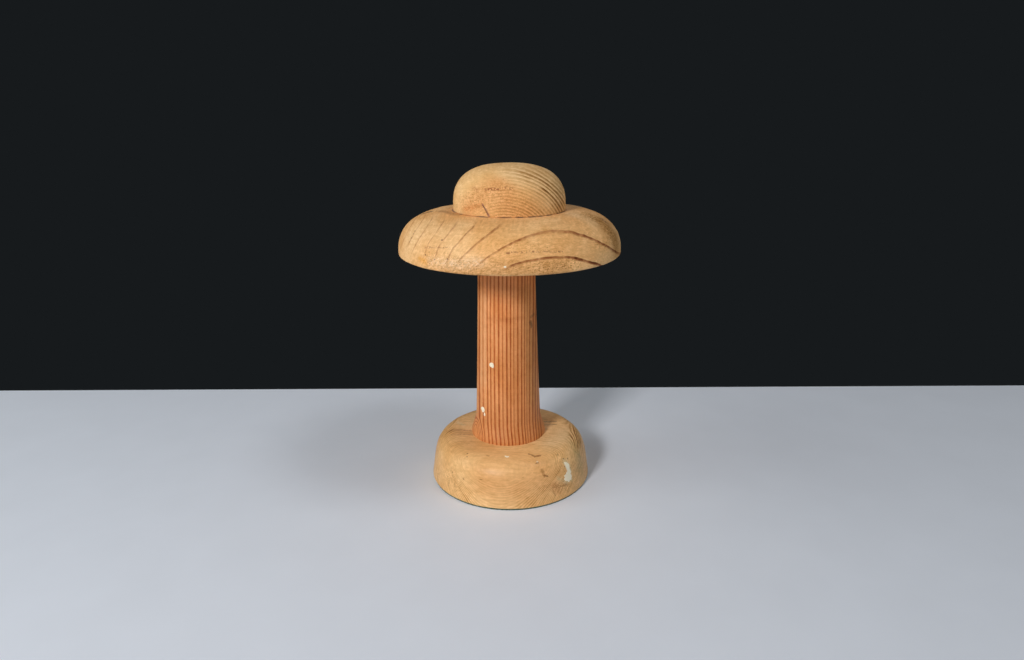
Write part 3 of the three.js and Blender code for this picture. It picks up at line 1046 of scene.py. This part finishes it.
# The marks of each piece. A number after the pixels is a mark's reach in millimetres.
CROWN_MARKS = [
    zone("faded", [(456, 208), (460, 190), (472, 176), (490, 167), (510, 163)], 26, 0.95, soft=0.6),
    zone("faded", [(468, 200), (482, 192), (491, 180)], 19, 0.85, soft=0.5),
    zone("faded", [(458, 210), (470, 211), (478, 210)], 8, 0.6, soft=0.6),
    zone("bold", [(548, 188), (554, 196), (560, 206)], 18, 4.3),
    zone("bold", [(528, 176), (542, 180), (552, 188)], 16, 2.6),
    zone("bold", [(505, 214), (540, 211)], 10, 1.1),
    zone("rough", [(466, 200), (482, 198), (500, 194)], 18, 0.55),
    stain([(520, 174), (545, 182), (560, 200)], 24, "#F3D2A2", 0.5),
    stain([(505, 196), (525, 206)], 24, "#E5A867", 0.5),
    stain([(468, 208), (480, 196), (492, 186)], 20, "#D08C50", 0.6, broken=0.3),
    stain([(500, 183), (512, 190), (505, 200)], 12, "#D08C50", 0.4, broken=0.5),
    stain([(473, 187.5), (477, 190.5)], 3, "#A5653A", 0.6, broken=0.8),
    stain([(465, 208.5), (471, 208), (481, 205)], 4, "#C87C3C", 0.55, broken=0.5),
    stain([(486, 189.5), (494, 189), (500, 189.5)], 2.2, "#8E4A2C", 0.9, broken=1),
    stain([(506, 188), (511, 188.5)], 2.2, "#8E4A2C", 0.9, broken=1),
    stain([(482.5, 204.5), (486, 210), (489, 216.5)], 1.5, "#9C6A62", 0.75, soft=0.7, broken=0.2),
]
BRIM_MARKS = [
    zone("swirl", [(424, 258), (436, 260), (447, 264)], 16, 0.3),
    zone("swirl", [(537, 256.5), (555, 256)], 22, 0.06),
    zone("swirl", [(600, 264.5)], 20, -0.09),
    zone("faded", [(404, 256), (430, 268), (470, 272), (500, 273)], 16, 0.9, soft=0.8),
    zone("faded", [(440, 214), (462, 219), (500, 222)], 8, 0.8, soft=0.8),
    zone("faded", [(410, 230), (425, 226), (440, 238), (425, 250)], 14, 0.35, soft=0.7),
    zone("faded", [(588, 213), (603, 222), (615, 236)], 12, 0.8, soft=0.6),
    zone("bold", [(578, 235), (598, 240.5), (615, 251)], 10, 1.0, soft=0.9),
    zone("bold", [(574, 258), (600, 264)], 9, 0.8, soft=0.9),
    zone("bold", [(528, 236), (512, 241)], 6, 0.6),
    zone("bold", [(410, 240), (416, 229), (420, 223)], 5, 0.8, soft=0.8),
    zone("rough", [(588, 215), (603, 224), (613, 238)], 17, 1.4),
    zone("rough", [(430, 260), (445, 265), (475, 269)], 13, 0.7, soft=0.8),
    zone("rough", [(475, 269), (540, 270), (575, 263)], 13, 0.55, soft=0.8),
    zone("rough", [(540, 268), (575, 264)], 9, 1.2, soft=0.8),
    zone("rough", [(597, 244), (606, 246)], 6, 1.3),
    zone("rough", [(500, 247), (550, 246)], 9, 0.5),
    stain([(410, 240), (425, 232), (445, 235), (450, 248)], 30, "#F0D4A6", 0.3),
    stain([(500, 232), (530, 246), (560, 240)], 26, "#DFA765", 0.2),
    stain([(450, 269), (500, 274), (560, 270)], 14, "#C2905A", 0.55, broken=0.4),
    stain([(420, 259), (426, 262)], 5, "#E2A048", 0.7, soft=0.9, broken=0.4),
    stain([(599, 220), (610, 230), (616, 242)], 26, "#97692F", 0.75, broken=0.2),
    # Painted light: the brim's top just right of the crown is made paler, like wood in full light
    stain([(572, 214), (590, 222)], 16, "#F6D2A0", 0.3),
    stain([(603, 219.5), (606, 222.5)], 5, "#6E4636", 0.75, broken=0.8),
    stain([(507, 253), (530, 252), (562, 251.5)], 1.8, "#8A5236", 0.8, broken=1),
    stain([(425, 248), (436, 247), (450, 248)], 1.7, "#96603C", 0.6, broken=1),
    spot((442, 240), 1.6, "#6A3E2A", 0.8, broken=0.2),
    spot((425.5, 255), 1.1, "#6A4028", 0.8),
    spot((434.5, 259.5), 1.1, "#6A4028", 0.8),
    spot((447.5, 259), 1.1, "#6A4028", 0.8),
    stain([(415, 231), (412, 237), (409.5, 242.5)], 1.4, "#5E3A22", 0.7, broken=1),
    stain([(430, 262), (455, 264), (480, 262)], 8, "#F0DCC0", 0.35, broken=0.7),
    stain([(421.5, 214.3), (431, 211.6)], 3.4, "#3A221C", 0.9, soft=0.8),
    # A darker patch on the brim's top along the left of the crown's foot
    stain([(440, 211), (448, 212.5), (457, 215)], 7, "#9A7048", 0.6, broken=0.4),
]
BASE_MARKS = [
    zone("faded", [(478, 464), (510, 464), (535, 466)], 34, 0.92, soft=0.7),
    zone("faded", [(475, 490), (500, 496), (528, 494)], 22, 0.6, soft=0.7),
    zone("faded", [(444, 470), (452, 486)], 14, 0.5),
    zone("faded", [(446, 452), (458, 460), (470, 468)], 16, 0.75, soft=0.7),
    zone("bold", [(454, 486), (468, 497)], 14, 1.6, soft=0.8),
    zone("bold", [(526, 499), (545, 488), (556, 478)], 16, 1.5, soft=0.8),
    zone("bold", [(450, 431), (472, 433)], 8, 1.2, soft=0.7),
    zone("bold", [(560, 424), (572, 430), (578, 444)], 12, 3.6, soft=0.8),
    zone("bold", [(545, 421), (556, 424)], 8, 3, soft=0.8),
    zone("rough", [(446, 470), (456, 482)], 9, 0.6),
    zone("rough", [(560, 488), (575, 482)], 9, 0.7),
    zone("rough", [(556, 452), (563, 462)], 6, 0.7),
    stain([(490, 482), (515, 486), (540, 480)], 34, "#E0A468", 0.6),
    stain([(500, 458), (530, 462)], 26, "#E2AC70", 0.4),
    stain([(552, 442), (568, 436), (575, 448)], 26, "#EED0A0", 0.6),
    spot((467.5, 453.5), 1.3, "#8E5A2C", 0.7),
    spot((467, 457), 1.2, "#8E5A2C", 0.6),
    spot((452.5, 472.5), 1.5, "#94602E", 0.65, broken=0.2),
    stain([(449.5, 479), (448.5, 486)], 1.3, "#94602E", 0.7, broken=0.9),
    stain([(455.5, 486.5), (454, 482.5)], 1.2, "#94602E", 0.6, broken=0.7),
    spot((438.5, 474), 1.3, "#8A5A2C", 0.6, broken=0.2),
    stain([(544.5, 475.8), (547.5, 476)], 1.2, "#7E4A22", 0.8, soft=0.7, broken=0.2),
    spot((567.5, 458.5), 1.0, "#5A3820", 0.8),
    spot((557.5, 454.5), 1.0, "#7A4A26", 0.7),
    stain([(555.5, 495), (553, 491)], 1.8, "#A0622E", 0.6, broken=0.5),
    stain([(559, 487), (566, 484.5)], 2.4, "#A0622E", 0.6, broken=0.7),
    stain([(553, 486), (560, 492)], 7, "#C07A3C", 0.5, broken=0.6),
    stain([(452, 430), (473, 430.8)], 1.7, "#9A5C34", 0.8, broken=0.4),
    stain([(452, 434.5), (473, 434.8)], 1.9, "#9A5C34", 0.7, broken=0.5),
    stain([(544, 421.8), (556, 421.3)], 1.5, "#5E3820", 0.8, broken=0.4),
    stain([(545, 425), (556, 424.6)], 1.5, "#5E3820", 0.7, broken=0.4),
    stain([(574, 445), (578, 458), (582, 474)], 12, "#B09A5C", 0.35, broken=0.5),
    stain([(576, 452), (580, 458)], 6, "#94824C", 0.35, broken=0.6),
    stain([(576, 470), (583, 462)], 8, "#9A8450", 0.3, broken=0.7),
    stain([(453, 430), (462, 432), (471, 433)], 7, "#B07C48", 0.4, broken=0.3),
    stain([(456, 422), (464, 425)], 4, "#EAD6B2", 0.6, broken=0.9),
    stain([(529, 454), (535, 456.5), (540, 455.5)], 1.6, "#8E5A2C", 0.75, soft=0.6, broken=0.2),
    spot((537.3, 461.8), 1.2, "#F0DDBE", 0.9),
    stain([(536, 463.5), (538.5, 462.8)], 1.1, "#7E4E28", 0.7, soft=0.7, broken=0.2),
    stain([(542, 470), (544.5, 476)], 2.2, "#96602E", 0.6, soft=0.7, broken=0.3),
    spot((563, 458.5), 1.1, "#4A3020", 0.9),
    spot((564.5, 466.5), 0.9, "#8A4A28", 0.8),
    spot((463.6, 479), 1.7, "#9C6430", 0.7, broken=0.2),
    stain([(487, 455.5), (489, 456)], 1.4, "#A8723C", 0.6, soft=0.7, broken=0.2),
    stain([(565, 462), (569, 467), (570, 474), (567, 481)], 5.5, "#E4D6AE", 0.85, soft=0.9, broken=0.6),
    stain([(558, 478), (564, 481), (572, 480)], 4, "#DCCCA0", 0.6, broken=0.7),
    stain([(555, 486), (567, 484)], 6, "#A9703A", 0.4, broken=0.8),
]
COLUMN_MARKS = [
    zone("swirl", [(477, 436), (475.8, 428)], 14, 2.6),
    stain([(488, 425), (510, 440), (532, 425)], 42, "#C9834C", 0.55),
    # Painted shade: the right side of the column, turned away from the key lamp, is made a darker orange
    stain([(526, 290), (530, 340), (533, 400)], 14, "#CE9254", 0.55),
    # Painted highlight: the lit left side of the column is made paler
    stain([(484, 300), (483, 380)], 12, "#F0B986", 0.5),
    stain([(530.5, 322), (531.5, 326)], 3, "#6B4420", 0.75, soft=0.7, broken=0.2),
    stain([(488, 318.5), (505, 320), (523, 317.5)], 4, "#B4652F", 0.35, broken=0.2),
    stain([(531, 317), (534, 314)], 2.5, "#7A4E26", 0.5, soft=0.7, broken=0.2),
]


# Other materials

BAIZE_PATCHES = 0.3
BAIZE_RELIEF = 0.25
DUSTY_PAINT = (0.45, 0.75)
DUST_ROUGHNESS = 0.2
PAINT_RELIEF = 0.1
STEEL_ROUGHNESS = 0.38
SCRATCH_ROUGHNESS = 0.2
SCRATCH_RELIEF = 0.01
SPANGLE_RELIEF = 0.005


def baize_cloth():
    shader = Shader("green_baize")
    fuzz = shader.noise(shader.place, pattern(size=0.6, detail=3, roughness=0.7))
    patch = shader.noise(shader.place, pattern(size=14, detail=2))
    colour = shader.mix(linear("#1F3A2C"), linear("#3F6450"), fuzz)
    colour = shader.deepen(colour, (patch - MIDDLE) * BAIZE_PATCHES, GREY_UPTAKE)
    return shader.finish(colour, roughness=0.95, height=fuzz * BAIZE_RELIEF,
                         **{"Sheen Weight": 0.5, "Sheen Roughness": 0.5})


def old_paint():
    shader = Shader("old_paint")
    lumps = shader.noise(shader.place, pattern(size=1.2, detail=2))
    dust = shader.noise(shader.place, pattern(size=0.4, detail=3, roughness=0.7))
    colour = shader.mix(linear("#FFF6DC"), linear("#EAD6A6"), shader.ramp(dust, *DUSTY_PAINT))
    return shader.finish(colour, roughness=0.42 + dust * DUST_ROUGHNESS, height=lumps * PAINT_RELIEF,
                         **{"Specular IOR Level": 0.5})


def dull_steel():
    shader = Shader("dull_zinc_steel")
    spangle, tone = shader.cells(shader.place, size=1.5)
    scratch = shader.noise(shader.place, pattern(size=0.3, detail=3))
    colour = shader.mix(linear("#8C8E90"), linear("#B4B6B8"), tone)
    return shader.finish(colour, roughness=STEEL_ROUGHNESS + scratch * SCRATCH_ROUGHNESS,
                         height=scratch * SCRATCH_RELIEF + spangle * SPANGLE_RELIEF, Metallic=1)


# Stage and light

def make_table():
    """A plain pale table, whose back edge is behind the stand."""
    half = TABLE_SIZE / 2
    front = TABLE_BACK - TABLE_SIZE
    corners = [(-half, front), (half, front), (half, TABLE_BACK), (-half, TABLE_BACK)]
    table = link("table", closed_mesh("table", [[(x, y, z) for x, y in corners]
                                                for z in (-TABLE_THICKNESS, 0)]))
    shader = Shader("plain_pale_table")
    mottle = shader.noise(shader.place, pattern(size=60, detail=3))
    colour = shader.deepen(linear(TABLE_COLOUR)[:3], (mottle - MIDDLE) * TABLE_MOTTLE, GREY_UPTAKE)
    table.data.materials.append(shader.finish(colour, roughness=0.6, height=mottle * TABLE_RELIEF))


def make_lamp(name, values):
    """A soft square lamp that faces the middle of the stand."""
    azimuth = math.radians(values.azimuth)
    elevation = math.radians(values.elevation)
    lamp = bpy.data.lights.new(name, "AREA")
    lamp.size = values.size
    lamp.energy = values.watts
    lamp.color = values.colour
    direction = Vector((math.sin(azimuth) * math.cos(elevation),
                        -math.cos(azimuth) * math.cos(elevation),
                        math.sin(elevation)))
    middle = Vector((0, 0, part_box("column")[1].z / 2))
    lamp_object = bpy.data.objects.new(name, lamp)
    lamp_object.matrix_world = (Matrix.Translation(middle + direction * values.distance)
                                @ direction.to_track_quat("Z", "Y").to_matrix().to_4x4())
    bpy.context.scene.collection.objects.link(lamp_object)


def make_world():
    """A plain dark backdrop, which adds next to nothing to the light of the lamps."""
    world = bpy.data.worlds.new("world")
    bpy.context.scene.world = world
    world.use_nodes = True
    tree = world.node_tree
    tree.nodes.clear()
    backdrop = tree.nodes.new("ShaderNodeBackground")
    backdrop.inputs["Color"].default_value = linear(BACKDROP_COLOUR)
    output = tree.nodes.new("ShaderNodeOutputWorld")
    tree.links.new(backdrop.outputs[0], output.inputs["Surface"])


def finish_block(block, node, tree, look, marks, cracks=(), dabs=None):
    """Gives a turned block its cracks, wood and dabs of paint."""
    for crack in cracks:
        cut(block, [crack_tool(block, crack)])
    for mark in marks:
        mark.points = [seen_at(pixel, block)[0] / MM for pixel in mark.pixels]
    settle(block, node, wood(f"{node}_softwood", tree, look, marks))
    for name, dab in (dabs or {}).items():
        make_dab(name, dab, block)


make_camera()
make_table()
make_world()
for lamp_name, lamp_values in LAMPS.items():
    make_lamp(lamp_name, lamp_values)
bpy.context.scene.view_settings.view_transform = "Standard"

baize = make_baize()
settle(baize, "baize_pad", baize_cloth())

paint_material = old_paint()
finish_block(make_base(), "base", BASE_TREE, BASE_LOOK, BASE_MARKS, [BASE_NICK],
             {"paint_smear": PAINT_SMEAR, "paint_flake": PAINT_FLAKE})
finish_block(make_column(), "column", COLUMN_TREE, COLUMN_LOOK, COLUMN_MARKS,
             dabs={"paint_drop_upper": UPPER_DROP, "paint_drop_lower": LOWER_DROP,
                   "paint_drop_tail": DROP_TAIL})
finish_block(make_brim(), "brim", BRIM_TREE, BRIM_LOOK, BRIM_MARKS, [BRIM_CRACK],
             {"paint_speck": BRIM_SPECK})
finish_block(make_crown(), "crown", CROWN_TREE, CROWN_LOOK, CROWN_MARKS, [CROWN_CHECK])

plain_hardwood = wood("plain_hardwood", HARDWOOD_TREE, HARDWOOD_LOOK, marks=[])
plain_steel = dull_steel()
hidden = {"spigot_wedge": plain_hardwood, "dowel_left": plain_hardwood, "dowel_right": plain_hardwood,
          "base_washer": plain_steel, "base_screw": plain_steel}
for node, material in hidden.items():
    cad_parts[node].data.materials.clear()
    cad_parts[node].data.materials.append(material)
